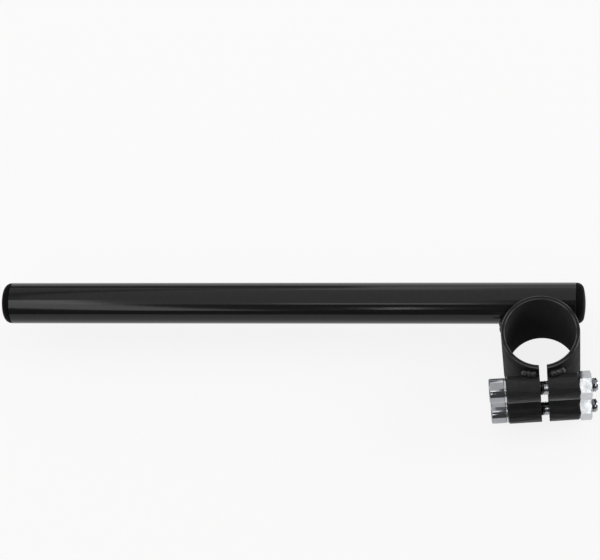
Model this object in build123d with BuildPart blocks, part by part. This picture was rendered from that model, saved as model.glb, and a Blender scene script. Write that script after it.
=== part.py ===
from build123d import *
from math import acos, cos, pi, radians, sin, sqrt
import os

# A clip-on handlebar for a motorcycle: a straight bar welded across a split ring that two bolts
# clamp round a fork leg. Sizes are in millimetres. The origin is the middle of the clamp bore.
# +Z runs along the bore, up the fork leg. +Y points from the bore to the bar, and the slot is on
# the -Y side. +X runs along the bar to its short end, so the hand's end of the bar is at -X.

# Bar: round steel tube, 7/8 inch outside for the usual controls and grips
tube_od = 22.2
tube_wall = 2.0
tube_length = 307.2
tube_short_end = 18.4
tube_notch = 3.8
tube_edge = 0.3

# Clamp ring: a short piece of larger tube, slit along one side
fork_d = 37.0
ring_wall = 2.0
ring_length = 52.0
ring_edge = 0.4
slot_width = 4.0
slot_turn = 4.2

# Bosses: thick sleeves welded across the slot, one pair for each bolt
boss_od = 14.0
head_boss_length = 17.5
nut_boss_length = 16.0
boss_inset = 11.5
boss_set = 0.8
boss_edge = 0.6

# Clamp bolts, washers and nuts: M8, socket heads on the -X side, nuts tightened to a turn from corner up
bolt_d = 8.0
bolt_length = 48.0
bolt_tip = 1.0
bolt_clearance = 0.3
head_d = 13.0
head_height = 8.0
head_edge = 0.8
socket_flats = 6.0
socket_depth = 4.0
washer_od = 12.8
washer_thick = 1.0
washer_clearance = 0.2
nut_flats = 13.0
nut_height = 6.5
nut_corner_fall = 0.6
nut_turn = -6.0
thread_clearance = 0.05

# Weld beads: the radius of each run, and how far its middle stands off the two walls it joins
bar_bead = 2.3
bar_bead_offset = 1.1
boss_bead = 2.4
boss_bead_offset = 1.2
boss_bead_end = 8.5
bead_start = radians(-8)

# Heavier fill in the wedge where the bar's long arm leaves the ring
fill_bead = 4.2
fill_offset = 2.5
fill_length = 16.0
fill_round = 3.0

# End caps: domed plastic plugs with ribbed hollow spigots
cap_height = 4.95
cap_face_r = 39.0
cap_inset = 0.1
cap_round = 4.0
spigot_length = 9.0
spigot_wall = 1.6
spigot_clearance = 0.5
rib_count = 3
rib_width = 1.2
rib_clearance = 0.1

# Sizes that follow from the ones above
tube_r = tube_od / 2
tube_bore_r = tube_r - tube_wall
tube_far_end = tube_short_end - tube_length
bore_r = fork_d / 2
ring_r = bore_r + ring_wall
tube_centre = ring_r + tube_r - tube_notch
boss_r = boss_od / 2
boss_centre = ring_r + boss_r - boss_set
boss_pitch = ring_length - 2 * boss_inset
bolt_seat = -slot_width / 2 - head_boss_length - washer_thick
nut_seat = slot_width / 2 + nut_boss_length
socket_floor = bolt_seat - head_height + socket_depth

# The jaw plane stands across the bolts: local x is up the bore, y is outward, z is along the bolts
bolt_way = Vector(cos(radians(slot_turn)), sin(radians(slot_turn)), 0)
jaw = Plane(origin=(0, 0, 0), x_dir=(0, 0, 1), z_dir=bolt_way)
bolt_axis = Axis((0, 0, 0), bolt_way)

# The bar section plane holds the bar's own axis: local x is along the bar, y is up
bar_section = Plane(origin=(0, tube_centre, 0), x_dir=(1, 0, 0), z_dir=(0, -1, 0))
bar_axis = Axis((0, tube_centre, 0), (1, 0, 0))

rows = {"upper": 1, "lower": -1}
sides = {"head_side": (-1, head_boss_length), "nut_side": (1, nut_boss_length)}


def save(piece, name):
    """Label a finished piece and write it as its own file."""
    piece.label = name
    export_step(piece, f"parts/{name}.step")


def bar_bead_point(turn, side, up):
    """A point in the crease between bar and ring: the ring's flank at 0, its crown at a quarter turn."""
    ring_reach = ring_r + bar_bead_offset
    bar_reach = tube_r + bar_bead_offset
    lean = acos((tube_centre - ring_reach) / bar_reach) * sin(turn)
    y = tube_centre - bar_reach * cos(lean)
    x = sqrt(max(ring_reach**2 - y**2, 0))
    return (side * x, y, up * bar_reach * sin(lean))


def boss_bead_point(along, row, side, edge):
    """A point of the crease between a boss and the ring, the given distance from the slot's middle."""
    reach = sqrt((ring_r + boss_bead_offset) ** 2 - along**2)
    rise = sqrt((boss_r + boss_bead_offset) ** 2 - (boss_centre - reach) ** 2)
    return jaw.from_local_coords((row * boss_pitch / 2 + edge * rise, reach, side * along))


os.makedirs("parts", exist_ok=True)

# Room that other pieces take out of a weld bead, and out of the ring for its slot
with BuildPart() as ring_room:
    Cylinder(ring_r, ring_length)

with BuildPart() as tube_room:
    with BuildSketch(Plane.YZ.offset(tube_far_end)):
        with Locations((tube_centre, 0)):
            Circle(tube_r)
    extrude(amount=tube_length)

with BuildPart() as slot_room:
    with BuildSketch(Plane(origin=(0, 0, -ring_length / 2), x_dir=bolt_way, z_dir=(0, 0, 1))):
        Rectangle(slot_width, boss_centre + boss_r, align=(Align.CENTER, Align.MAX))
    extrude(amount=ring_length)

# Handlebar tube, notched on one side to sit on the ring
with BuildPart() as handlebar_tube:
    with BuildSketch(Plane.YZ.offset(tube_far_end)):
        with Locations((tube_centre, 0)):
            Circle(tube_r)
            Circle(tube_bore_r, mode=Mode.SUBTRACT)
    extrude(amount=tube_length)
    chamfer(handlebar_tube.edges().filter_by(GeomType.CIRCLE), tube_edge)
    add(ring_room.part, mode=Mode.SUBTRACT)
save(handlebar_tube.part, "handlebar_tube")

# Clamp ring, with broken edges at both rims and the slot cut through
with BuildPart() as clamp_ring:
    with BuildSketch(Plane.XY.offset(-ring_length / 2)):
        Circle(ring_r)
        Circle(bore_r, mode=Mode.SUBTRACT)
    extrude(amount=ring_length)
    chamfer(clamp_ring.edges().filter_by(GeomType.CIRCLE), ring_edge)
    add(slot_room.part, mode=Mode.SUBTRACT)
save(clamp_ring.part, "clamp_ring")

# Fill in the wedge between the ring's flank and the bar's long arm, standing off both walls alike
with BuildPart() as arm_fill:
    fill_y = tube_centre - tube_r - fill_offset
    fill_x = sqrt((ring_r + fill_offset) ** 2 - fill_y**2)
    with Locations((-fill_x, fill_y, 0)):
        Cylinder(fill_bead, fill_length)
    fillet(arm_fill.edges().filter_by(GeomType.CIRCLE), fill_round)

# The bar's weld: an upper and a lower run, each over both shoulders, which meet at the bar's mid height
for row_name, up in rows.items():
    with BuildPart() as bar_weld:
        for side in (-1, 1):
            with BuildLine() as crease:
                ThreePointArc(*[bar_bead_point(turn, side, up) for turn in (bead_start, pi / 4, pi / 2)])
            with BuildSketch(Plane(origin=crease.line @ 0, z_dir=crease.line % 0)):
                Circle(bar_bead)
            sweep()
        with Locations(bar_bead_point(pi / 2, 1, up)):
            Sphere(bar_bead)
        add(arm_fill.part)
        split(bisect_by=Plane.XY, keep=Keep.TOP if up > 0 else Keep.BOTTOM)
        add(tube_room.part, mode=Mode.SUBTRACT)
        add(ring_room.part, mode=Mode.SUBTRACT)
    save(bar_weld.part, f"bar_weld_{row_name}")

# Bosses with their bolt holes, coped to the ring, and the welds in the creases above and below
for row_name, row in rows.items():
    for side_name, (side, boss_length) in sides.items():
        with BuildPart() as boss:
            with BuildSketch(jaw.offset(side * slot_width / 2)):
                with Locations((row * boss_pitch / 2, boss_centre)):
                    Circle(boss_r)
                    Circle(bolt_d / 2 + bolt_clearance, mode=Mode.SUBTRACT)
            extrude(amount=side * boss_length)
            outer_end = boss.faces().filter_by(GeomType.PLANE).sort_by(bolt_axis, reverse=side > 0)[0]
            chamfer(outer_end.outer_wire().edges(), boss_edge)
            add(ring_room.part, mode=Mode.SUBTRACT)
        save(boss.part, f"boss_{row_name}_{side_name}")

        with BuildPart() as boss_room:
            with BuildSketch(jaw):
                with Locations((row * boss_pitch / 2, boss_centre)):
                    Circle(boss_r)
            extrude(amount=side * (slot_width / 2 + boss_length))

        for edge_name, edge in {"top": 1, "bottom": -1}.items():
            with BuildPart() as boss_weld:
                with BuildLine() as crease:
                    ThreePointArc(
                        *[boss_bead_point(boss_bead_end * step / 2, row, side, edge) for step in range(3)]
                    )
                with BuildSketch(Plane(origin=crease.line @ 0, z_dir=crease.line % 0)):
                    Circle(boss_bead)
                sweep()
                with Locations(crease.line @ 1):
                    Sphere(boss_bead)
                add(slot_room.part, mode=Mode.SUBTRACT)
                add(ring_room.part, mode=Mode.SUBTRACT)
                add(boss_room.part, mode=Mode.SUBTRACT)
            save(boss_weld.part, f"boss_weld_{row_name}_{side_name}_{edge_name}")

# Clamp bolts, washers and nuts, one set for each row
for row_name, row in rows.items():
    spot = (row * boss_pitch / 2, boss_centre)

    with BuildPart() as clamp_bolt:
        with BuildSketch(jaw.offset(bolt_seat - head_height)):
            with Locations(spot):
                Circle(head_d / 2)
        extrude(amount=head_height)
        head_face = clamp_bolt.faces().sort_by(bolt_axis)[0]
        fillet(head_face.edges(), head_edge)
        with BuildSketch(jaw.offset(bolt_seat)):
            with Locations(spot):
                Circle(bolt_d / 2)
        extrude(amount=bolt_length)
        chamfer(clamp_bolt.faces().sort_by(bolt_axis)[-1].edges(), bolt_tip)
        with BuildSketch(jaw.offset(socket_floor)):
            with Locations(spot):
                RegularPolygon(socket_flats / 2, 6, major_radius=False)
        extrude(amount=-socket_depth, mode=Mode.SUBTRACT)
    save(clamp_bolt.part, f"clamp_bolt_{row_name}")

    with BuildPart() as washer:
        with BuildSketch(jaw.offset(bolt_seat)):
            with Locations(spot):
                Circle(washer_od / 2)
                Circle(bolt_d / 2 + washer_clearance, mode=Mode.SUBTRACT)
        extrude(amount=washer_thick)
    save(washer.part, f"bolt_washer_{row_name}")

    with BuildPart() as nut:
        nut_corner_r = nut_flats / sqrt(3)
        with BuildSketch(jaw.offset(nut_seat)):
            with Locations(spot):
                Circle(nut_corner_r)
        extrude(amount=nut_height)
        for end_face in nut.faces().filter_by(GeomType.PLANE):
            chamfer(end_face.edges(), nut_corner_fall, nut_corner_r - nut_flats / 2, reference=end_face)
        with BuildSketch(jaw.offset(nut_seat)):
            with Locations(spot):
                RegularPolygon(nut_flats / 2, 6, major_radius=False, rotation=nut_turn)
        extrude(amount=nut_height, mode=Mode.INTERSECT)
        with BuildSketch(jaw.offset(nut_seat)):
            with Locations(spot):
                Circle(bolt_d / 2 + thread_clearance)
        extrude(amount=nut_height, mode=Mode.SUBTRACT)
    save(nut.part, f"clamp_nut_{row_name}")

# End caps: a domed flange against the tube's end, and a hollow spigot with ribs inside the tube
for cap_name, end, out in (("end_cap_outer", tube_far_end, -1), ("end_cap_inner", tube_short_end, 1)):
    cap_r = tube_r - cap_inset
    rim_height = cap_height - cap_face_r + sqrt(cap_face_r**2 - cap_r**2)
    spigot_r = tube_bore_r - spigot_clearance
    rib_r = tube_bore_r - rib_clearance
    rib_pitch = spigot_length / (rib_count + 1)
    with BuildPart() as end_cap:
        with BuildSketch(bar_section) as half_section:
            with BuildLine():
                crown = (end + out * cap_height, 0)
                rim = (end + out * rim_height, cap_r)
                RadiusArc(crown, rim, -out * cap_face_r)
                Polyline(
                    rim,
                    (end, cap_r),
                    (end, spigot_r),
                    (end - out * spigot_length, spigot_r),
                    (end - out * spigot_length, spigot_r - spigot_wall),
                    (end, spigot_r - spigot_wall),
                    (end, 0),
                    crown,
                )
            make_face()
            fillet(half_section.vertices().sort_by_distance(rim)[0], cap_round)
            for rib in range(1, rib_count + 1):
                with Locations((end - out * rib * rib_pitch, rib_r)):
                    Rectangle(rib_width, rib_r - spigot_r + spigot_wall / 2, align=(Align.CENTER, Align.MAX))
        revolve(axis=bar_axis)
    save(end_cap.part, cap_name)
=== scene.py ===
from math import acos, copysign, cos, pi, radians, sin, sqrt, tan

import bmesh
import bpy
from bpy.props import FloatProperty, FloatVectorProperty, PointerProperty
from bpy.types import Operator, Panel, PropertyGroup
from mathutils import Matrix, Vector


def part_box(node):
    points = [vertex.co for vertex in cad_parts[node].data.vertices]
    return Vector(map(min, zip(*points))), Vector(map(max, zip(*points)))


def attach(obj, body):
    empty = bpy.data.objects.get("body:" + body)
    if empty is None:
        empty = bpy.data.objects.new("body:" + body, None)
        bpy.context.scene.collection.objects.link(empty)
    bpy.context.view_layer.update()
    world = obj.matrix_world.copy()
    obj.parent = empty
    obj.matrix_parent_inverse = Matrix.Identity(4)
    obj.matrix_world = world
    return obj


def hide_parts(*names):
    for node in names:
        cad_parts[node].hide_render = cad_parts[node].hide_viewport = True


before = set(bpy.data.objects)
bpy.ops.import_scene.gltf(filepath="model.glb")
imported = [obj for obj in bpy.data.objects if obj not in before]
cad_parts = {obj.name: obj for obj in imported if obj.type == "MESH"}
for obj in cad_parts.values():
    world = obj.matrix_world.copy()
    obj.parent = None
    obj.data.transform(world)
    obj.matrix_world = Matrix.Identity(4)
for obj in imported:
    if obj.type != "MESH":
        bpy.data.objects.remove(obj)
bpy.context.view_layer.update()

bl_info = {
    "name": "Clip-on handlebar",
    "version": (1, 0, 0),
    "blender": (4, 5, 0),
    "location": "3D View > Sidebar > Handlebar",
    "description": "Finishes a welded clip-on handlebar: enamel, plating, weld runs, threads and end caps",
    "category": "Object",
}

BODY = "root"
MM = 0.001
UPRIGHT = Vector((0, 0, 1))

# Half the turn from one corner of a hexagon to the next
HEX_HALF = pi / 6

# Sockets of the Mix node that share a name with others, by their number
FIRST_VALUE, SECOND_VALUE = 2, 3
FIRST_COLOUR, SECOND_COLOUR, MIXED_COLOUR = 6, 7, 2

# Which way each row of bosses, side of the slot and edge of a boss lies
ROWS = {"upper": 1, "lower": -1}
SIDES = {"head_side": -1, "nut_side": 1}
EDGES = {"top": 1, "bottom": -1}

# How far from the bore's wall, the ring's walls and its rims a change of coat starts, and where it is full;
# the bore's coat carries painted light and the rims' coat a painted highlight
BORE_FADE = (0.5 * MM, 0.1 * MM)
EDGE_FADE = (0.5 * MM, 0.3 * MM)
RIM_FADE = (0.55 * MM, 0.35 * MM)

# The part of a noise over which the patches of edge wear with their painted highlight come in, and the part
# that makes a weld thin or thick
WORN_HIGHLIGHT_RANGE = (0.3, 0.6)
LUMP_RANGE = (0.25, 0.75)

# The smoothest and roughest of a finish, as shares of its roughness
ENAMEL_SPREAD = (0.8, 1.3)
ZINC_SPREAD = (0.5, 1.5)

# The first seeds of the weld runs
BAR_SEED = 3.1
BOSS_SEED = 11.3

# Each light's place, the point that it faces, its width and length, and its brightness
SOFTBOXES = {
    "overhead_left": ((-0.33, 1.65, 1.2), (-0.33, 1.65, 0), (0.54, 4.7), 0.78),
    "overhead_right": ((0.47, 1.925, 1.2), (0.47, 1.925, 0), (1.06, 4.15), 0.78),
    "back_strip": ((-0.3, 2.9, 1.19), (-0.3, 2.9, 0), (0.3, 2.2), 0.7),
    "back_left_softbox": ((-1.53, 2.2, 1.2), (-1.53, 2.2, 0), (1.74, 4.6), 0.57),
    "front_strip": ((-0.21, -0.59, 1.19), (-0.21, -0.59, 0), (0.22, 0.17), 1.9),
    "front_panel": ((0.185, -0.61, 1.19), (0.185, -0.61, 0), (0.2, 0.22), 3.0),
    "strip_softbox": ((-0.59, -1.15, 1.0), (-0.59, -1.15, 0), (0.23, 2.1), 2.3),
    "glint_lamp": ((-0.238, -1.53, 1.2), (-0.078, 0.028, 0), (0.03, 0.36), 9.0),
    "back_panel": ((0.8, 3.6, 0.7), (0.8, 0, 0.7), (2.5, 0.9), 1.1),
    "left_softbox": ((-1.8, 0.3, 1.1), (-0.1, 0, 0), (1.0, 1.0), 1.7),
    "right_softbox": ((1.7, 0.5, 1.1), (-0.1, 0, 0), (1.0, 1.0), 4.5),
}


def linear(code):
    """The linear red, green and blue of an sRGB hex colour."""
    levels = [int(code[start : start + 2], 16) / 255 for start in (0, 2, 4)]
    return tuple(
        level / 12.92 if level <= 0.04045 else ((level + 0.055) / 1.055) ** 2.4 for level in levels
    )


def middle(node):
    """The middle of a CAD node."""
    low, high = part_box(node)
    return (low + high) / 2


def half_height(node):
    """Half the height of a CAD node."""
    low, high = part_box(node)
    return (high.z - low.z) / 2


def span(node, way):
    """The lowest and highest place of a CAD node along a direction from the origin."""
    heights = [vertex.co.dot(way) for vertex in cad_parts[node].data.vertices]
    return min(heights), max(heights)


# Sizes read from the frame, in metres: the bar, the ring, the bosses and the pieces on the bolts' line
tube_r = half_height("handlebar_tube")
tube_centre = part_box("handlebar_tube")[1].y - tube_r
ring_low, ring_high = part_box("clamp_ring")
ring_r = ring_high.x
bore_r = min(vertex.co.xy.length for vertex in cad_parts["clamp_ring"].data.vertices)
boss_r = half_height("boss_upper_head_side")
bolt_way = (middle("clamp_nut_upper") - middle("bolt_washer_upper")).normalized()
boss_centre = middle("clamp_nut_upper").dot(bolt_way.cross(UPRIGHT))
slot_half = span("boss_upper_nut_side", bolt_way)[0]
head_face, bolt_end = span("clamp_bolt_upper", bolt_way)
washer_back, washer_front = span("bolt_washer_upper", bolt_way)
nut_seat, nut_face = span("clamp_nut_upper", bolt_way)
head_r = half_height("clamp_bolt_upper")
washer_r = half_height("bolt_washer_upper")


class EnamelSettings(PropertyGroup):
    """Black enamel on the bar, the ring, the bosses and the welds."""

    bar_colour: FloatVectorProperty(
        name="Bar colour",
        description="Body colour of the enamel on the bar",
        subtype="COLOR",
        default=linear("161617"),
    )
    boss_colour: FloatVectorProperty(
        name="Boss colour",
        description="Body colour of the enamel on the bosses",
        subtype="COLOR",
        default=linear("262627"),
    )
    ring_colour: FloatVectorProperty(
        name="Ring colour",
        description="Body colour of the enamel on the ring",
        subtype="COLOR",
        default=linear("262627"),
    )
    weld_colour: FloatVectorProperty(
        name="Weld colour",
        description="Body colour of the enamel on the welds",
        subtype="COLOR",
        default=linear("1b1b1c"),
    )
    thin: FloatProperty(
        name="Thin enamel",
        description="How much lighter the coat is where it is thinner",
        default=1.62,
        min=1,
    )
    # Painted light: the coat inside the bore is lighter than the ring's, to lift the shade in the bore
    bore_coat_and_painted_light: FloatVectorProperty(
        name="Bore enamel",
        description="Colour of the thin coat inside the ring",
        subtype="COLOR",
        default=linear("464648"),
    )
    # Painted highlight: the grey of the ring's rim edges stands for their highlights as well as their wear
    worn_and_highlight_colour: FloatVectorProperty(
        name="Worn enamel",
        description="Colour on the ring's worn edges",
        subtype="COLOR",
        default=linear("707072"),
    )
    bar_rough: FloatProperty(
        name="Bar roughness",
        description="Roughness of the enamel on the drawn bar",
        default=0.1,
        min=0,
        max=1,
    )
    boss_rough: FloatProperty(
        name="Boss roughness",
        description="Roughness of the enamel on the turned bosses",
        default=0.3,
        min=0,
        max=1,
    )
    ring_rough: FloatProperty(
        name="Ring roughness",
        description="Roughness of the enamel on the ring",
        default=0.5,
        min=0,
        max=1,
    )
    weld_rough: FloatProperty(
        name="Weld roughness",
        description="Roughness of the enamel on the welds",
        default=0.3,
        min=0,
        max=1,
    )
    bore_rough: FloatProperty(
        name="Bore roughness",
        description="Roughness of the thin coat inside the ring",
        default=0.78,
        min=0,
        max=1,
    )
    bar_shine: FloatProperty(
        name="Bar shine",
        description="Specular level of the enamel on the bar",
        default=0.3,
        min=0,
        max=1,
    )
    boss_shine: FloatProperty(
        name="Boss shine",
        description="Specular level of the enamel on the bosses",
        default=0.14,
        min=0,
        max=1,
    )
    ring_shine: FloatProperty(
        name="Ring shine",
        description="Specular level of the enamel on the ring",
        default=0.01,
        min=0,
        max=1,
    )
    weld_shine: FloatProperty(
        name="Weld shine",
        description="Specular level of the enamel on the welds",
        default=0.55,
        min=0,
        max=1,
    )
    peel: FloatProperty(
        name="Orange peel",
        description="Width of one cell of the sprayed surface",
        default=2.4 * MM,
        unit="LENGTH",
    )
    peel_depth: FloatProperty(
        name="Orange peel depth", description="Depth of the cells", default=0.012 * MM, unit="LENGTH"
    )
    along_scale: FloatProperty(
        name="Along scale",
        description="Scale of the waves along the bar, as a share of their scale across it",
        default=0.12,
        min=0,
    )
    waves_across: FloatProperty(
        name="Waves across", description="How many waves lie across the length of one", default=8, min=0
    )
    bar_sag: FloatProperty(
        name="Bar waves",
        description="Length of the slow waves along the bar",
        default=70 * MM,
        unit="LENGTH",
    )
    boss_sag: FloatProperty(
        name="Boss streaks",
        description="Length of the streaks along a boss",
        default=13 * MM,
        unit="LENGTH",
    )
    ring_sag: FloatProperty(
        name="Ring waves",
        description="Length of the slow waves on the ring",
        default=40 * MM,
        unit="LENGTH",
    )
    weld_sag: FloatProperty(
        name="Weld waves",
        description="Length of the slow waves on a weld",
        default=12 * MM,
        unit="LENGTH",
    )
    bar_wave: FloatProperty(
        name="Bar wave depth",
        description="Depth of the waves along the bar",
        default=0.036 * MM,
        unit="LENGTH",
    )
    boss_wave: FloatProperty(
        name="Boss streak depth",
        description="Depth of the streaks on a boss",
        default=0.45 * MM,
        unit="LENGTH",
    )
    ring_wave: FloatProperty(
        name="Ring wave depth",
        description="Depth of the waves on the ring",
        default=0.08 * MM,
        unit="LENGTH",
    )
    weld_wave: FloatProperty(
        name="Weld wave depth",
        description="Depth of the waves on a weld",
        default=0.2 * MM,
        unit="LENGTH",
    )


class FastenerSettings(PropertyGroup):
    """Bright zinc-plated bolts, washers and nuts."""

    # One zinc plate in two colours: the bolts' darker colour is painted shade on the heads, and the paler
    # colour of the nuts and washers is painted light on their faces
    bolt_colour: FloatVectorProperty(
        name="Bolt colour",
        description="Colour of the polished bolts",
        subtype="COLOR",
        default=linear("a8aaae"),
    )
    bolt_shade: FloatVectorProperty(
        name="Bolt shade",
        description="Colour of their duller patches",
        subtype="COLOR",
        default=linear("949699"),
    )
    nut_colour: FloatVectorProperty(
        name="Nut colour",
        description="Colour of the nuts and washers",
        subtype="COLOR",
        default=linear("d4d6d8"),
    )
    nut_shade: FloatVectorProperty(
        name="Nut shade",
        description="Colour of their duller patches",
        subtype="COLOR",
        default=linear("b4b6ba"),
    )
    bolt_rough: FloatProperty(
        name="Bolt roughness", description="Roughness of the polished bolts", default=0.12, min=0, max=1
    )
    nut_rough: FloatProperty(
        name="Nut roughness",
        description="Roughness of the nuts and washers",
        default=0.19,
        min=0,
        max=1,
    )
    mottle: FloatProperty(
        name="Mottle", description="Width of the duller patches", default=3 * MM, unit="LENGTH"
    )
    pit_depth: FloatProperty(
        name="Pit depth",
        description="Depth of the plate's unevenness",
        default=0.03 * MM,
        unit="LENGTH",
    )
    thread_pitch: FloatProperty(
        name="Thread pitch",
        description="Distance from one thread to the next",
        default=1.25 * MM,
        unit="LENGTH",
    )
    thread_depth: FloatProperty(
        name="Thread depth",
        description="Height of the thread over its core",
        default=0.75 * MM,
        unit="LENGTH",
    )
    thread_r: FloatProperty(
        name="Thread radius", description="Radius over the threads", default=3.95 * MM, unit="LENGTH"
    )
    thread_start: FloatProperty(
        name="Thread start",
        description="Where the thread begins, from the slot's middle",
        default=-9 * MM,
        unit="LENGTH",
    )
    socket_flats: FloatProperty(
        name="Socket size",
        description="Distance across the flats of the hexagon socket",
        default=6 * MM,
        unit="LENGTH",
    )
    socket_depth: FloatProperty(
        name="Socket depth", description="Depth of the hexagon socket", default=4 * MM, unit="LENGTH"
    )
    head_round: FloatProperty(
        name="Head edge", description="Radius of the head's outer edge", default=0.8 * MM, unit="LENGTH"
    )
    nut_flats: FloatProperty(
        name="Nut size",
        description="Distance across the flats of the nut",
        default=13 * MM,
        unit="LENGTH",
    )
    nut_turn: FloatProperty(
        name="Nut turn",
        description="Turn of a nut's flat from facing straight up",
        default=radians(24),
        subtype="ANGLE",
    )


class WeldSettings(PropertyGroup):
    """Weld runs under the enamel."""

    bar_bead: FloatProperty(
        name="Bar bead",
        description="Radius of the run between bar and ring",
        default=2.2 * MM,
        unit="LENGTH",
    )
    bar_offset: FloatProperty(
        name="Bar bead offset",
        description="How far the run's middle stands off both walls",
        default=1.1 * MM,
        unit="LENGTH",
    )
    boss_bead: FloatProperty(
        name="Boss bead",
        description="Radius of the run between boss and ring",
        default=2.2 * MM,
        unit="LENGTH",
    )
    boss_offset: FloatProperty(
        name="Boss bead offset",
        description="How far the run's middle stands off both walls",
        default=1.2 * MM,
        unit="LENGTH",
    )
    fill_bead: FloatProperty(
        name="Arm fill",
        description="Radius of the fill beside the bar's long arm",
        default=4 * MM,
        unit="LENGTH",
    )
    fill_offset: FloatProperty(
        name="Arm fill offset",
        description="How far the fill's middle stands off both walls",
        default=2.5 * MM,
        unit="LENGTH",
    )
    fill_length: FloatProperty(
        name="Arm fill length", description="Height of the fill", default=15 * MM, unit="LENGTH"
    )
    boss_start: FloatProperty(
        name="Boss bead start",
        description="Where the run begins, from the slot's edge",
        default=0.9 * MM,
        unit="LENGTH",
    )
    boss_end: FloatProperty(
        name="Boss bead end",
        description="Where the run ends, from the slot's middle",
        default=10.2 * MM,
        unit="LENGTH",
    )
    bar_ripple: FloatProperty(
        name="Bar ripple",
        description="Distance between ripples of the bar's run",
        default=1.6 * MM,
        unit="LENGTH",
    )
    boss_ripple: FloatProperty(
        name="Boss ripple",
        description="Distance between the lumps of a boss's run",
        default=2.6 * MM,
        unit="LENGTH",
    )
    ripple_depth: FloatProperty(
        name="Ripple depth",
        description="Height of a ripple over the valley beside it",
        default=0.35 * MM,
        unit="LENGTH",
    )
    lump_depth: FloatProperty(
        name="Lump depth",
        description="Height of a boss weld's lump over the valley beside it",
        default=0.7 * MM,
        unit="LENGTH",
    )


class CapSettings(PropertyGroup):
    """Moulded end caps."""

    colour: FloatVectorProperty(
        name="Cap colour",
        description="Colour of the plastic",
        subtype="COLOR",
        default=linear("0a0a0b"),
    )
    rub: FloatVectorProperty(
        name="Rubbed colour",
        description="Colour where the plastic is rubbed",
        subtype="COLOR",
        default=linear("161617"),
    )
    rub_width: FloatProperty(
        name="Rub width", description="Width of a rubbed patch", default=5 * MM, unit="LENGTH"
    )
    grain: FloatProperty(
        name="Grain",
        description="Width of one grain of the mould's texture",
        default=0.5 * MM,
        unit="LENGTH",
    )
    grain_depth: FloatProperty(
        name="Grain depth", description="Depth of the mould's texture", default=0.05 * MM, unit="LENGTH"
    )
    rough: FloatProperty(
        name="Cap roughness", description="Roughness of the plastic", default=0.55, min=0, max=1
    )
    shine: FloatProperty(
        name="Cap shine", description="Specular level of the plastic", default=0.03, min=0, max=1
    )


class StageSettings(PropertyGroup):
    """Floor, lights and camera."""

    floor_colour: FloatVectorProperty(
        name="Floor colour",
        description="Colour of the floor",
        subtype="COLOR",
        default=linear("f4f4f3"),
    )
    floor_rough: FloatProperty(
        name="Floor roughness", description="Roughness of the floor", default=0.9, min=0, max=1
    )
    floor_shine: FloatProperty(
        name="Floor shine", description="Specular level of the floor", default=0.1, min=0, max=1
    )
    floor_reach: FloatProperty(
        name="Floor reach", description="Radius of the floor", default=4, unit="LENGTH"
    )
    floor_white: FloatProperty(
        name="Floor white",
        description="How far the floor shows as plain white paper",
        default=0.85,
        min=0,
        max=1,
    )
    room: FloatProperty(
        name="Room light", description="Brightness of the room around the stage", default=0.1, min=0
    )
    camera_place: FloatVectorProperty(
        name="Camera place",
        description="Where the camera stands",
        subtype="TRANSLATION",
        default=(0.021, -0.4591, 1.0861),
    )
    camera_target: FloatVectorProperty(
        name="Camera target",
        description="What the camera looks at",
        subtype="TRANSLATION",
        default=(-0.1305, 0.0416, 0),
    )
    camera_roll: FloatProperty(
        name="Camera roll",
        description="Turn of the camera about its own line of sight",
        subtype="ANGLE",
        default=radians(15.32),
    )
    camera_lens: FloatProperty(
        name="Camera lens", description="Focal length of the camera", unit="CAMERA", default=133.2
    )


def add_node(tree, kind, inputs=None, **settings):
    """Add a node with its settings; each input is a socket to link or a value to set."""
    node = tree.nodes.new(kind)
    for name, value in settings.items():
        setattr(node, name, value)
    for name, value in (inputs or {}).items():
        if isinstance(value, bpy.types.NodeSocket):
            tree.links.new(value, node.inputs[name])
        else:
            node.inputs[name].default_value = value
    return node


def surface(name):
    """A new material with an empty node tree, or the one already made under that name."""
    found = bpy.data.materials.get(name)
    if found:
        return found, None
    material = bpy.data.materials.new(name)
    material.use_nodes = True
    material.node_tree.nodes.clear()
    return material, material.node_tree


def opaque(colour):
    """A colour with full alpha, as a colour socket takes it."""
    return (*colour, 1)


def from_bore_line(tree, place):
    """The distance of each point from the middle line of the ring's bore."""
    flat = add_node(tree, "ShaderNodeVectorMath", {0: place, 1: (1, 1, 0)}, operation="MULTIPLY")
    return add_node(tree, "ShaderNodeVectorMath", {0: flat.outputs[0]}, operation="LENGTH").outputs["Value"]


def dull_bore_with_painted_light(tree, place, coat, rough, settings):
    """The ring's colour and roughness outside, and the duller thin coat's inside its bore, whose lighter
    colour is painted light in the bore's shade.
    """
    start, full = BORE_FADE
    inside = add_node(
        tree,
        "ShaderNodeMapRange",
        {"Value": from_bore_line(tree, place), "From Min": bore_r + start, "From Max": bore_r + full},
    )
    colour = add_node(
        tree,
        "ShaderNodeMix",
        {
            "Factor": inside.outputs[0],
            FIRST_COLOUR: coat,
            SECOND_COLOUR: opaque(settings.bore_coat_and_painted_light),
        },
        data_type="RGBA",
    )
    dull = add_node(
        tree,
        "ShaderNodeMix",
        {"Factor": inside.outputs[0], FIRST_VALUE: rough, SECOND_VALUE: settings.bore_rough},
    )
    return colour, dull


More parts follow.
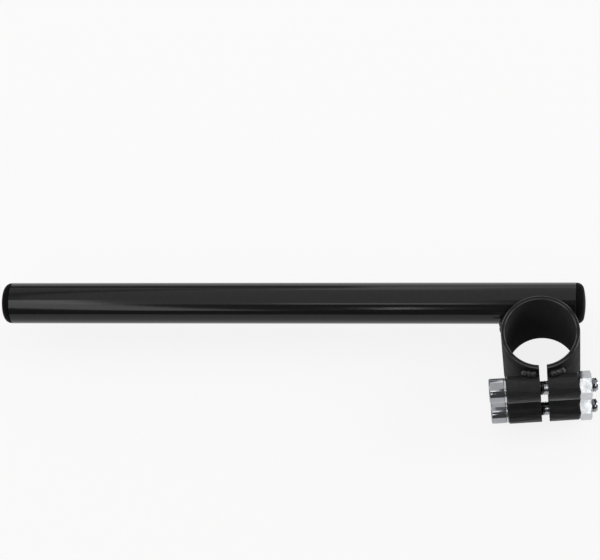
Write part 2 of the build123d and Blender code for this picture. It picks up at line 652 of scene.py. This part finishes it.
def worn_and_highlit_rims(tree, place, coat, patches, wear_and_highlight):
    """The coat's colour, and a greyer one in patches along the broken edges of the ring's two rims: edge
    wear with a painted highlight.
    """
    half_wall = (ring_r - bore_r) / 2
    off_middle = add_node(
        tree,
        "ShaderNodeMath",
        {0: from_bore_line(tree, place), 1: bore_r + half_wall},
        operation="SUBTRACT",
    )
    to_edge = add_node(tree, "ShaderNodeMath", {0: off_middle.outputs[0]}, operation="ABSOLUTE")
    start, full = EDGE_FADE
    at_edge = add_node(
        tree,
        "ShaderNodeMapRange",
        {"Value": to_edge.outputs[0], "From Min": half_wall - start, "From Max": half_wall - full},
    )
    height = add_node(tree, "ShaderNodeSeparateXYZ", {0: place}).outputs["Z"]
    from_middle = add_node(tree, "ShaderNodeMath", {0: height}, operation="ABSOLUTE")
    start, full = RIM_FADE
    at_rim = add_node(
        tree,
        "ShaderNodeMapRange",
        {"Value": from_middle.outputs[0], "From Min": ring_high.z - start, "From Max": ring_high.z - full},
    )
    edge = add_node(
        tree, "ShaderNodeMath", {0: at_edge.outputs[0], 1: at_rim.outputs[0]}, operation="MULTIPLY"
    )
    start, full = WORN_HIGHLIGHT_RANGE
    patchy = add_node(tree, "ShaderNodeMapRange", {"Value": patches, "From Min": start, "From Max": full})
    share = add_node(
        tree, "ShaderNodeMath", {0: edge.outputs[0], 1: patchy.outputs[0]}, operation="MULTIPLY"
    )
    return add_node(
        tree,
        "ShaderNodeMix",
        {"Factor": share.outputs[0], FIRST_COLOUR: coat, SECOND_COLOUR: opaque(wear_and_highlight)},
        data_type="RGBA",
    )


def black_enamel(part):
    """Stoved black enamel: glossy on the drawn bar, half gloss on bosses and welds, satin on the ring."""
    settings = bpy.context.scene.handlebar_enamel
    material, tree = surface(f"Stoved black enamel on {part}")
    if tree is None:
        return material
    traits = ("colour", "rough", "shine", "sag", "wave")
    colour, roughness, shine, sag_length, wave = (getattr(settings, f"{part}_{trait}") for trait in traits)
    thin = [settings.thin * share for share in colour]
    smoothest, roughest = ENAMEL_SPREAD
    place = add_node(tree, "ShaderNodeTexCoord").outputs["Object"]
    peel = add_node(
        tree,
        "ShaderNodeTexNoise",
        {"Vector": place, "Scale": 1 / settings.peel, "Detail": 1.0, "Roughness": 0.4},
    )
    stretched = add_node(tree, "ShaderNodeMapping", {"Vector": place, "Scale": (settings.along_scale, 1, 1)})
    sag = add_node(
        tree,
        "ShaderNodeTexNoise",
        {"Vector": stretched.outputs[0], "Scale": settings.waves_across / sag_length, "Detail": 0.5},
    )
    coat = add_node(
        tree,
        "ShaderNodeMix",
        {"Factor": peel.outputs["Fac"], FIRST_COLOUR: opaque(colour), SECOND_COLOUR: opaque(thin)},
        data_type="RGBA",
    )
    rough = add_node(
        tree,
        "ShaderNodeMapRange",
        {"Value": sag.outputs["Fac"], "To Min": roughness * smoothest, "To Max": roughness * roughest},
    )
    # On the ring, the bore gets a lighter coat as painted light, and the rim edges get a grey that is wear
    # with a painted highlight
    if part == "ring":
        coat, rough = dull_bore_with_painted_light(tree, place, coat.outputs[MIXED_COLOUR], rough.outputs[0], settings)
        coat = worn_and_highlit_rims(tree, place, coat.outputs[MIXED_COLOUR], sag.outputs["Fac"], settings.worn_and_highlight_colour)
    waves = add_node(tree, "ShaderNodeBump", {"Height": sag.outputs["Fac"], "Distance": wave})
    skin = add_node(
        tree,
        "ShaderNodeBump",
        {
            "Height": peel.outputs["Fac"],
            "Strength": 0.25,
            "Distance": settings.peel_depth,
            "Normal": waves.outputs[0],
        },
    )
    shader = add_node(
        tree,
        "ShaderNodeBsdfPrincipled",
        {
            "Base Color": coat.outputs[MIXED_COLOUR],
            "Roughness": rough.outputs[0],
            "Normal": skin.outputs[0],
            "Specular IOR Level": shine,
        },
    )
    add_node(tree, "ShaderNodeOutputMaterial", {"Surface": shader.outputs[0]})
    return material


def bright_zinc(part):
    """Bright zinc plate on steel: mirror-like on the polished bolts, paler and more mottled on the nuts; the
    bolts' darker colour is painted shade and the nuts' paler colour is painted light.
    """
    settings = bpy.context.scene.handlebar_fasteners
    material, tree = surface(f"Bright zinc plate on {part}")
    if tree is None:
        return material
    traits = ("colour", "shade", "rough")
    plain, shade, roughness = (getattr(settings, f"{part}_{trait}") for trait in traits)
    smoothest, roughest = ZINC_SPREAD
    place = add_node(tree, "ShaderNodeTexCoord").outputs["Object"]
    mottle = add_node(
        tree, "ShaderNodeTexNoise", {"Vector": place, "Scale": 1 / settings.mottle, "Detail": 3.0}
    )
    colour = add_node(
        tree,
        "ShaderNodeMix",
        {"Factor": mottle.outputs["Fac"], FIRST_COLOUR: opaque(plain), SECOND_COLOUR: opaque(shade)},
        data_type="RGBA",
    )
    rough = add_node(
        tree,
        "ShaderNodeMapRange",
        {"Value": mottle.outputs["Fac"], "To Min": roughness * smoothest, "To Max": roughness * roughest},
    )
    pits = add_node(
        tree,
        "ShaderNodeBump",
        {"Height": mottle.outputs["Fac"], "Strength": 0.2, "Distance": settings.pit_depth},
    )
    shader = add_node(
        tree,
        "ShaderNodeBsdfPrincipled",
        {
            "Base Color": colour.outputs[MIXED_COLOUR],
            "Metallic": 1.0,
            "Roughness": rough.outputs[0],
            "Normal": pits.outputs[0],
        },
    )
    add_node(tree, "ShaderNodeOutputMaterial", {"Surface": shader.outputs[0]})
    return material


def moulded_polythene():
    """Moulded black polythene: matte, finely grained, and a little greyer where it is rubbed."""
    settings = bpy.context.scene.handlebar_caps
    material, tree = surface("Moulded black polythene")
    if tree is None:
        return material
    place = add_node(tree, "ShaderNodeTexCoord").outputs["Object"]
    grain = add_node(
        tree, "ShaderNodeTexNoise", {"Vector": place, "Scale": 1 / settings.grain, "Detail": 2.0}
    )
    rubbed = add_node(
        tree, "ShaderNodeTexNoise", {"Vector": place, "Scale": 1 / settings.rub_width, "Detail": 2.0}
    )
    colour = add_node(
        tree,
        "ShaderNodeMix",
        {
            "Factor": rubbed.outputs["Fac"],
            FIRST_COLOUR: opaque(settings.colour),
            SECOND_COLOUR: opaque(settings.rub),
        },
        data_type="RGBA",
    )
    relief = add_node(
        tree,
        "ShaderNodeBump",
        {"Height": grain.outputs["Fac"], "Strength": 0.35, "Distance": settings.grain_depth},
    )
    shader = add_node(
        tree,
        "ShaderNodeBsdfPrincipled",
        {
            "Base Color": colour.outputs[MIXED_COLOUR],
            "Roughness": settings.rough,
            "Specular IOR Level": settings.shine,
            "Normal": relief.outputs[0],
        },
    )
    add_node(tree, "ShaderNodeOutputMaterial", {"Surface": shader.outputs[0]})
    return material


def studio_paper():
    """Matte white studio paper: plain and pale, and it holds the soft shadow."""
    settings = bpy.context.scene.handlebar_stage
    material, tree = surface("White studio paper")
    if tree is None:
        return material
    shader = add_node(
        tree,
        "ShaderNodeBsdfPrincipled",
        {
            "Base Color": opaque(settings.floor_colour),
            "Roughness": settings.floor_rough,
            "Specular IOR Level": settings.floor_shine,
        },
    )
    rays = add_node(tree, "ShaderNodeLightPath").outputs
    direct = add_node(
        tree, "ShaderNodeMath", {0: rays["Is Camera Ray"], 1: rays["Is Glossy Ray"]}, operation="MAXIMUM"
    )
    seen = add_node(
        tree, "ShaderNodeMath", {0: direct.outputs[0], 1: rays["Is Transmission Ray"]}, operation="MAXIMUM"
    )
    share = add_node(
        tree, "ShaderNodeMath", {0: seen.outputs[0], 1: settings.floor_white}, operation="MULTIPLY"
    )
    white = add_node(tree, "ShaderNodeEmission", {"Strength": 1.0})
    paper = add_node(
        tree, "ShaderNodeMixShader", {"Fac": share.outputs[0], 1: shader.outputs[0], 2: white.outputs[0]}
    )
    add_node(tree, "ShaderNodeOutputMaterial", {"Surface": paper.outputs[0]})
    return material


def finish_node(node, material):
    """Give a CAD node its finish."""
    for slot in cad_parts[node].material_slots:
        slot.material = material


def finish_piece(name, mesh, material, node):
    """Put a finished mesh in the scene as a piece that stands for a CAD node."""
    if not mesh.polygons:
        raise RuntimeError(f"{name} has no faces")
    mesh.materials.clear()
    mesh.materials.append(material)
    piece = bpy.data.objects.new(name, mesh)
    bpy.context.scene.collection.objects.link(piece)
    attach(piece, BODY)
    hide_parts(node)


def node_tree(name, sizes):
    """A geometry node tree with named sizes and a finish as its inputs."""
    tree = bpy.data.node_groups.new(name, "GeometryNodeTree")
    tree.interface.new_socket("Geometry", in_out="INPUT", socket_type="NodeSocketGeometry")
    for size in sizes:
        tree.interface.new_socket(size, in_out="INPUT", socket_type="NodeSocketFloat")
    tree.interface.new_socket("Finish", in_out="INPUT", socket_type="NodeSocketMaterial")
    tree.interface.new_socket("Geometry", in_out="OUTPUT", socket_type="NodeSocketGeometry")
    return tree


def grown(data, tree, values):
    """The plain mesh that a node tree makes of a curve or mesh, with the tree's inputs given by name."""
    base = bpy.data.objects.new(tree.name, data)
    bpy.context.scene.collection.objects.link(base)
    modifier = base.modifiers.new(tree.name, "NODES")
    modifier.node_group = tree
    for item in tree.interface.items_tree:
        if item.in_out == "INPUT" and item.name in values:
            modifier[item.identifier] = values[item.name]
    evaluated = base.evaluated_get(bpy.context.evaluated_depsgraph_get())
    mesh = bpy.data.meshes.new_from_object(evaluated)
    base.modifiers.remove(modifier)
    bpy.data.objects.remove(base)
    return mesh


def weld_tree():
    """A weld run along a curve: a bead with ripples across it, uneven lumps and tapered ends."""
    tree = node_tree("Weld run", ("Bead radius", "Ripple pitch", "Ripple depth", "Unevenness", "Seed"))
    steps_per_ripple = 8
    lumps_per_ripple = 0.6
    end_size = 0.45
    sides = 24
    given = add_node(tree, "NodeGroupInput").outputs
    step = add_node(
        tree, "ShaderNodeMath", {0: given["Ripple pitch"], 1: steps_per_ripple}, operation="DIVIDE"
    )
    path = add_node(
        tree,
        "GeometryNodeResampleCurve",
        {"Curve": given["Geometry"], "Length": step.outputs[0]},
        mode="LENGTH",
    )
    along = add_node(tree, "GeometryNodeSplineParameter").outputs["Length"]
    whole = add_node(tree, "GeometryNodeSplineLength").outputs["Length"]
    rest = add_node(tree, "ShaderNodeMath", {0: whole, 1: along}, operation="SUBTRACT")
    nearest_end = add_node(tree, "ShaderNodeMath", {0: along, 1: rest.outputs[0]}, operation="MINIMUM")
    taper = add_node(
        tree,
        "ShaderNodeMapRange",
        {
            "Value": nearest_end.outputs[0],
            "From Max": given["Bead radius"],
            "To Min": end_size,
            "To Max": 1.0,
        },
        interpolation_type="SMOOTHSTEP",
    )
    marked = add_node(tree, "GeometryNodeCaptureAttribute", {"Geometry": path.outputs[0]})
    marked.capture_items.new("FLOAT", "Along")
    tree.links.new(along, marked.inputs["Along"])
    section = add_node(
        tree, "GeometryNodeCurvePrimitiveCircle", {"Resolution": sides, "Radius": given["Bead radius"]}
    )
    bead = add_node(
        tree,
        "GeometryNodeCurveToMesh",
        {
            "Curve": marked.outputs["Geometry"],
            "Profile Curve": section.outputs[0],
            "Scale": taper.outputs[0],
            "Fill Caps": True,
        },
    )
    turns = add_node(
        tree, "ShaderNodeMath", {0: marked.outputs["Along"], 1: given["Ripple pitch"]}, operation="DIVIDE"
    )
    angle = add_node(tree, "ShaderNodeMath", {0: turns.outputs[0], 1: pi}, operation="MULTIPLY")
    wave = add_node(tree, "ShaderNodeMath", {0: angle.outputs[0]}, operation="SINE")
    scallop = add_node(tree, "ShaderNodeMath", {0: wave.outputs[0]}, operation="ABSOLUTE")
    ripple = add_node(
        tree, "ShaderNodeMath", {0: scallop.outputs[0], 1: given["Ripple depth"]}, operation="MULTIPLY"
    )
    lump_scale = add_node(
        tree, "ShaderNodeMath", {0: lumps_per_ripple, 1: given["Ripple pitch"]}, operation="DIVIDE"
    )
    lump = add_node(
        tree,
        "ShaderNodeTexNoise",
        {"W": given["Seed"], "Scale": lump_scale.outputs[0], "Detail": 1.0},
        noise_dimensions="4D",
    )
    thinnest, thickest = LUMP_RANGE
    swell = add_node(
        tree,
        "ShaderNodeMapRange",
        {"Value": lump.outputs["Fac"], "From Min": thinnest, "From Max": thickest, "To Min": -1.0},
    )
    uneven = add_node(
        tree, "ShaderNodeMath", {0: swell.outputs[0], 1: given["Unevenness"]}, operation="MULTIPLY"
    )
    height = add_node(
        tree, "ShaderNodeMath", {0: ripple.outputs[0], 1: uneven.outputs[0]}, operation="ADD"
    )
    outward = add_node(tree, "GeometryNodeInputNormal").outputs["Normal"]
    lift = add_node(
        tree, "ShaderNodeVectorMath", {0: outward, "Scale": height.outputs[0]}, operation="SCALE"
    )
    lumpy = add_node(
        tree, "GeometryNodeSetPosition", {"Geometry": bead.outputs[0], "Offset": lift.outputs[0]}
    )
    real = add_node(tree, "GeometryNodeRealizeInstances", {"Geometry": lumpy.outputs[0]})
    painted = add_node(
        tree, "GeometryNodeSetMaterial", {"Geometry": real.outputs[0], "Material": given["Finish"]}
    )
    add_node(tree, "NodeGroupOutput", {"Geometry": painted.outputs[0]})
    return tree


def thread_tree():
    """A screw thread on a plain blank: one ridge wound round the Z axis."""
    tree = node_tree("Screw thread", ("Start", "Length", "Pitch", "Core radius", "Depth"))
    steps_per_turn = 40
    root_share, crest_share = 0.86, 0.14
    given = add_node(tree, "NodeGroupInput").outputs
    turns = add_node(tree, "ShaderNodeMath", {0: given["Length"], 1: given["Pitch"]}, operation="DIVIDE")
    helix = add_node(
        tree,
        "GeometryNodeCurveSpiral",
        {
            "Resolution": steps_per_turn,
            "Rotations": turns.outputs[0],
            "Start Radius": given["Core radius"],
            "End Radius": given["Core radius"],
            "Height": given["Length"],
        },
    )
    upright = add_node(tree, "GeometryNodeSetCurveNormal", {"Curve": helix.outputs[0]}, mode="Z_UP")
    root = add_node(tree, "ShaderNodeMath", {0: given["Pitch"], 1: root_share}, operation="MULTIPLY")
    crest = add_node(tree, "ShaderNodeMath", {0: given["Pitch"], 1: crest_share}, operation="MULTIPLY")
    # Half of the ridge lies inside the core, so it is twice as high as the thread is deep
    deep = add_node(tree, "ShaderNodeMath", {0: given["Depth"], 1: 2.0}, operation="MULTIPLY")
    ridge = add_node(
        tree,
        "GeometryNodeCurvePrimitiveQuadrilateral",
        {
            "Height": deep.outputs[0],
            "Bottom Width": root.outputs[0],
            "Top Width": crest.outputs[0],
            "Offset": 0.0,
        },
        mode="TRAPEZOID",
    )
    wound = add_node(
        tree,
        "GeometryNodeCurveToMesh",
        {"Curve": upright.outputs[0], "Profile Curve": ridge.outputs[0], "Fill Caps": True},
    )
    shift = add_node(tree, "ShaderNodeCombineXYZ", {"Z": given["Start"]})
    placed = add_node(
        tree, "GeometryNodeTransform", {"Geometry": wound.outputs[0], "Translation": shift.outputs[0]}
    )
    whole = add_node(tree, "GeometryNodeJoinGeometry", {"Geometry": given["Geometry"]})
    tree.links.new(placed.outputs[0], whole.inputs[0])
    real = add_node(tree, "GeometryNodeRealizeInstances", {"Geometry": whole.outputs[0]})
    plated = add_node(
        tree, "GeometryNodeSetMaterial", {"Geometry": real.outputs[0], "Material": given["Finish"]}
    )
    add_node(tree, "NodeGroupOutput", {"Geometry": plated.outputs[0]})
    return tree


def path_curve(name, points):
    """A curve through points, for a node tree to follow."""
    curve = bpy.data.curves.new(name, "CURVE")
    curve.dimensions = "3D"
    spline = curve.splines.new("POLY")
    spline.points.add(len(points) - 1)
    for point, place in zip(spline.points, points):
        point.co = (*place, 1)
    return curve


def bolt_place(row):
    """The matrix that stands a piece made on the Z axis on a bolt's line, level with the slot's middle."""
    spot = middle(f"clamp_nut_{row}")
    place = Matrix((UPRIGHT, bolt_way.cross(UPRIGHT), bolt_way)).transposed().to_4x4()
    place.translation = spot - bolt_way * spot.dot(bolt_way)
    return place


def arc(radius, height, round_r, start, end, steps=5):
    """Points of a rounded corner in a profile, from one angle to another about its centre."""
    angles = [start + (end - start) * step / steps for step in range(steps + 1)]
    return [(radius + round_r * cos(angle), height + round_r * sin(angle)) for angle in angles]


def hexagon(flats, limit=None):
    """The radius of a hexagon at a turn, cut back to a circle where a limit is given."""

    def radius(turn):
        from_flat = (turn + HEX_HALF) % (2 * HEX_HALF) - HEX_HALF
        corner = flats / 2 / cos(from_flat)
        return corner if limit is None else min(corner, limit)

    return radius


def turned(name, profile, sides=72):
    """A closed mesh on the Z axis from a profile of radius and height; a radius may follow the turn."""
    maker = bmesh.new()
    loops = []
    for radius, height in profile:
        if radius == 0:
            loops.append([maker.verts.new((0, 0, height))])
            continue
        loop = []
        for side in range(sides):
            turn = 2 * pi * side / sides
            reach = radius(turn) if callable(radius) else radius
            loop.append(maker.verts.new((reach * cos(turn), reach * sin(turn), height)))
        loops.append(loop)
    pairs = list(zip(loops, loops[1:]))
    if len(loops[0]) > 1:
        pairs.append((loops[-1], loops[0]))
    for here, there in pairs:
        for side in range(sides):
            corners = [(here, side), (here, side + 1), (there, side + 1), (there, side)]
            maker.faces.new(dict.fromkeys(loop[index % len(loop)] for loop, index in corners))
    bmesh.ops.recalc_face_normals(maker, faces=maker.faces)
    mesh = bpy.data.meshes.new(name)
    maker.to_mesh(mesh)
    maker.free()
    return mesh


def joined(name, meshes):
    """One mesh of several."""
    maker = bmesh.new()
    for mesh in meshes:
        maker.from_mesh(mesh)
    whole = bpy.data.meshes.new(name)
    maker.to_mesh(whole)
    maker.free()
    return whole


def smooth(mesh, sharp=radians(32)):
    """Shade a mesh smooth, apart from its sharp edges."""
    mesh.polygons.foreach_set("use_smooth", [True] * len(mesh.polygons))
    mesh.set_sharp_from_angle(angle=sharp)
    return mesh


class HANDLEBAR_OT_steelwork(Operator):
    """Enamel the bar, the clamp ring and the bosses"""

    bl_idname = "handlebar.steelwork"
    bl_label = "Steelwork"

    def execute(self, context):
        finish_node("handlebar_tube", black_enamel("bar"))
        finish_node("clamp_ring", black_enamel("ring"))
        for row in ROWS:
            for side in SIDES:
                finish_node(f"boss_{row}_{side}", black_enamel("boss"))
        return {"FINISHED"}


class HANDLEBAR_OT_bar_welds(Operator):
    """Run the upper and lower welds between the bar and the ring"""

    bl_idname = "handlebar.bar_welds"
    bl_label = "Bar welds"

    def crease(self, up, offset):
        """The line where the bar meets the ring, from one flank over the crown to the other."""
        ring_reach = ring_r + offset
        bar_reach = tube_r + offset
        crown = acos((tube_centre - ring_reach) / bar_reach)
        steps = 24
        past_flank = 1.05
        points = []
        for step in range(-steps, steps + 1):
            share = step / steps
            lean = crown * cos(share * pi / 2 * past_flank)
            y = tube_centre - bar_reach * cos(lean)
            x = copysign(sqrt(max(ring_reach**2 - y**2, 0)), share)
            points.append((x, y, up * bar_reach * sin(lean)))
        return points

    def arm_line(self, up, settings):
        """The line of the heavier fill in the wedge beside the bar's long arm, from mid height outward."""
        y = tube_centre - tube_r - settings.fill_offset
        x = -sqrt((ring_r + settings.fill_offset) ** 2 - y**2)
        top = settings.fill_length / 2
        return [(x, y, up * height) for height in (-top / 8, top / 2, top)]

    def execute(self, context):
        settings = context.scene.handlebar_welds
        enamel = black_enamel("weld")
        tree = weld_tree()
        for seed, row in enumerate(ROWS):
            name = f"bar_weld_{row}_run"
            paths = (
                (settings.bar_bead, self.crease(ROWS[row], settings.bar_offset)),
                (settings.fill_bead, self.arm_line(ROWS[row], settings)),
            )
            runs = []
            for bead, points in paths:
                sizes = {
                    "Bead radius": bead,
                    "Ripple pitch": settings.bar_ripple,
                    "Ripple depth": settings.ripple_depth,
                    "Unevenness": settings.ripple_depth,
                    "Seed": BAR_SEED + seed,
                    "Finish": enamel,
                }
                runs.append(grown(path_curve(name, points), tree, sizes))
            weld = smooth(joined(name, runs), sharp=pi)
            finish_piece(name, weld, enamel, f"bar_weld_{row}")
        return {"FINISHED"}


class HANDLEBAR_OT_boss_welds(Operator):
    """Run the short welds between the bosses and the ring"""

    bl_idname = "handlebar.boss_welds"
    bl_label = "Boss welds"

    def crease(self, place, side, edge, settings):
        """The line where a boss meets the ring, from beside the slot outward."""
        start = slot_half + settings.boss_start
        steps = 12
        points = []
        for step in range(steps + 1):
            along = start + (settings.boss_end - start) * step / steps
            reach = sqrt((ring_r + settings.boss_offset) ** 2 - along**2)
            rise = sqrt((boss_r + settings.boss_offset) ** 2 - (boss_centre - reach) ** 2)
            points.append(place @ Vector((edge * rise, reach - boss_centre, side * along)))
        return points

    def execute(self, context):
        settings = context.scene.handlebar_welds
        enamel = black_enamel("weld")
        tree = weld_tree()
        seed = BOSS_SEED
        for row in ROWS:
            for side_name, side in SIDES.items():
                for edge_name, edge in EDGES.items():
                    node = f"boss_weld_{row}_{side_name}_{edge_name}"
                    seed += 1
                    sizes = {
                        "Bead radius": settings.boss_bead,
                        "Ripple pitch": settings.boss_ripple,
                        "Ripple depth": settings.lump_depth,
                        "Unevenness": settings.ripple_depth,
                        "Seed": seed,
                        "Finish": enamel,
                    }
                    path = path_curve(node, self.crease(bolt_place(row), side, edge, settings))
                    run = grown(path, tree, sizes)
                    finish_piece(f"{node}_run", smooth(run, sharp=pi), enamel, node)
        return {"FINISHED"}


class HANDLEBAR_OT_clamp_bolts(Operator):
    """Make the socket-head bolts with their threads"""

    bl_idname = "handlebar.clamp_bolts"
    bl_label = "Clamp bolts"

    def blank(self, name, settings):
        """A bolt without its thread, on the Z axis."""
        core = settings.thread_r - settings.thread_depth
        shank = settings.thread_r
        seat = washer_back
        floor = head_face + settings.socket_depth
        socket = hexagon(settings.socket_flats)
        mouth_margin = 0.1 * MM
        mouth = settings.socket_flats / 2 / cos(HEX_HALF) + mouth_margin
        corner = head_r - settings.head_round
        drill_point = 0.5 * MM
        bevel = 0.25 * MM
        neck = 0.3 * MM
        run_out = 0.5 * MM
        tip_length, tip_fall = 0.8 * MM, 0.5 * MM
        profile = [
            (0, floor + drill_point),
            (socket, floor),
            (socket, head_face + bevel),
            (mouth, head_face),
            *arc(corner, head_face + settings.head_round, settings.head_round, -pi / 2, 0),
            (head_r, seat - bevel),
            (head_r - bevel, seat),
            (shank + neck, seat),
            (shank, seat + neck),
            (shank, settings.thread_start - run_out),
            (core, settings.thread_start),
            (core, bolt_end - tip_length),
            (core - tip_fall, bolt_end),
            (0, bolt_end),
        ]
        return turned(name, profile)

    def execute(self, context):
        settings = context.scene.handlebar_fasteners
        zinc = bright_zinc("bolt")
        tree = thread_tree()
        plain_tip = 0.9 * MM
        sizes = {
            "Start": settings.thread_start,
            "Length": bolt_end - settings.thread_start - plain_tip,
            "Pitch": settings.thread_pitch,
            "Core radius": settings.thread_r - settings.thread_depth,
            "Depth": settings.thread_depth,
            "Finish": zinc,
        }
        for row in ROWS:
            name = f"clamp_bolt_{row}_threaded"
            bolt = grown(self.blank(name, settings), tree, sizes)
            bolt.transform(bolt_place(row))
            finish_piece(name, smooth(bolt), zinc, f"clamp_bolt_{row}")
        return {"FINISHED"}


class HANDLEBAR_OT_nuts_and_washers(Operator):
    """Make the hexagon nuts and the washers"""

    bl_idname = "handlebar.nuts_and_washers"
    bl_label = "Nuts and washers"

    def nut(self, name, settings):
        """A hexagon nut with chamfered corners and countersunk ends, on the Z axis."""
        corner = settings.nut_flats / 2 / cos(HEX_HALF)
        face_share = 0.97
        face_r = settings.nut_flats / 2 * face_share
        clearance = 0.05 * MM
        bore = settings.thread_r + clearance
        chamfer = radians(30)
        fall = (corner - face_r) * tan(chamfer)
        countersink = 0.45 * MM
        steps = 5
        rise = []
        for step in range(steps + 1):
            limit = face_r + (corner - face_r) * step / steps
            rise.append((hexagon(settings.nut_flats, limit), fall * step / steps))
        lower = [(radius, nut_seat + height) for radius, height in rise]
        upper = [(radius, nut_face - height) for radius, height in reversed(rise)]
        profile = [
            (bore, nut_seat + countersink),
            (bore + countersink, nut_seat),
            *lower,
            *upper,
            (bore + countersink, nut_face),
            (bore, nut_face - countersink),
        ]
        nut = turned(name, profile)
        nut.transform(Matrix.Rotation(settings.nut_turn, 4, "Z"))
        return nut

    def washer(self, name, settings):
        """A punched washer with softly rolled edges, on the Z axis."""
        clearance = 0.25 * MM
        bore = settings.thread_r + clearance
        roll = 0.2 * MM
        profile = [
            (bore, washer_front - roll),
            (bore, washer_back + roll),
            (bore + roll, washer_back),
            *arc(washer_r - roll, washer_back + roll, roll, -pi / 2, 0),
            *arc(washer_r - roll, washer_front - roll, roll, 0, pi / 2),
            (bore + roll, washer_front),
        ]
        return turned(name, profile)

    def execute(self, context):
        settings = context.scene.handlebar_fasteners
        zinc = bright_zinc("nut")
        for row in ROWS:
            makers = {f"clamp_nut_{row}": self.nut, f"bolt_washer_{row}": self.washer}
            for node, maker in makers.items():
                name = f"{node}_plated"
                mesh = maker(name, settings)
                mesh.transform(bolt_place(row))
                finish_piece(name, smooth(mesh), zinc, node)
        return {"FINISHED"}


class HANDLEBAR_OT_end_caps(Operator):
    """Finish the moulded end caps"""

    bl_idname = "handlebar.end_caps"
    bl_label = "End caps"

    def execute(self, context):
        for node in ("end_cap_outer", "end_cap_inner"):
            finish_node(node, moulded_polythene())
        return {"FINISHED"}


class HANDLEBAR_OT_stage(Operator):
    """Set the floor, the lights and the camera"""

    bl_idname = "handlebar.stage"
    bl_label = "Stage"

    def softbox(self, context, name, place, target, size, brightness):
        """A soft rectangular light, aimed at a point; at a brightness of 1 its face shows as white."""
        width, length = size
        light = bpy.data.lights.new(name, "AREA")
        light.shape = "RECTANGLE"
        light.size, light.size_y = width, length
        light.energy = brightness * pi * width * length
        lamp = bpy.data.objects.new(name, light)
        lamp.location = place
        lamp.rotation_euler = (Vector(target) - Vector(place)).to_track_quat("-Z", "Y").to_euler()
        lamp.visible_camera = False
        context.scene.collection.objects.link(lamp)

    def execute(self, context):
        settings = context.scene.handlebar_stage
        context.scene.view_settings.view_transform = "Standard"

        floor_sides = 96
        maker = bmesh.new()
        bmesh.ops.create_circle(maker, cap_ends=True, segments=floor_sides, radius=settings.floor_reach)
        bmesh.ops.translate(maker, verts=maker.verts, vec=(0, 0, ring_low.z))
        paper = bpy.data.meshes.new("floor")
        maker.to_mesh(paper)
        maker.free()
        paper.materials.append(studio_paper())
        floor = bpy.data.objects.new("floor", paper)
        context.scene.collection.objects.link(floor)

        world = bpy.data.worlds.new("room")
        world.use_nodes = True
        background = world.node_tree.nodes["Background"]
        background.inputs["Color"].default_value = (1, 1, 1, 1)
        background.inputs["Strength"].default_value = settings.room
        context.scene.world = world

        for name, light in SOFTBOXES.items():
            self.softbox(context, name, *light)

        camera = bpy.data.objects.new("camera", bpy.data.cameras.new("camera"))
        camera.data.lens = settings.camera_lens
        camera.data.clip_end = 100
        place, target = Vector(settings.camera_place), Vector(settings.camera_target)
        aim = (target - place).to_track_quat("-Z", "Y").to_matrix().to_4x4()
        roll = Matrix.Rotation(-settings.camera_roll, 4, "Z")
        camera.matrix_world = Matrix.Translation(place) @ aim @ roll
        context.scene.collection.objects.link(camera)
        context.scene.camera = camera
        return {"FINISHED"}


class HANDLEBAR_PT_parts(Panel):
    """Lists the steps that finish the handlebar, and their settings"""

    bl_label = "Clip-on handlebar"
    bl_space_type = "VIEW_3D"
    bl_region_type = "UI"
    bl_category = "Handlebar"

    def draw(self, context):
        for step in STEPS:
            self.layout.operator(step.bl_idname)
        for name, kind in SETTINGS.items():
            box = self.layout.box()
            box.label(text=kind.__doc__)
            for setting in kind.__annotations__:
                box.prop(getattr(context.scene, name), setting)


SETTINGS = {
    "handlebar_enamel": EnamelSettings,
    "handlebar_fasteners": FastenerSettings,
    "handlebar_welds": WeldSettings,
    "handlebar_caps": CapSettings,
    "handlebar_stage": StageSettings,
}
STEPS = (
    HANDLEBAR_OT_steelwork,
    HANDLEBAR_OT_bar_welds,
    HANDLEBAR_OT_boss_welds,
    HANDLEBAR_OT_clamp_bolts,
    HANDLEBAR_OT_nuts_and_washers,
    HANDLEBAR_OT_end_caps,
    HANDLEBAR_OT_stage,
)


def register():
    for kind in (*SETTINGS.values(), *STEPS, HANDLEBAR_PT_parts):
        bpy.utils.register_class(kind)
    for name, kind in SETTINGS.items():
        setattr(bpy.types.Scene, name, PointerProperty(type=kind))


def unregister():
    for name in SETTINGS:
        delattr(bpy.types.Scene, name)
    for kind in (HANDLEBAR_PT_parts, *STEPS, *SETTINGS.values()):
        bpy.utils.unregister_class(kind)


def main():
    register()
    bpy.ops.handlebar.steelwork()
    bpy.ops.handlebar.bar_welds()
    bpy.ops.handlebar.boss_welds()
    bpy.ops.handlebar.clamp_bolts()
    bpy.ops.handlebar.nuts_and_washers()
    bpy.ops.handlebar.end_caps()
    bpy.ops.handlebar.stage()


if __name__ == "__main__":
    main()
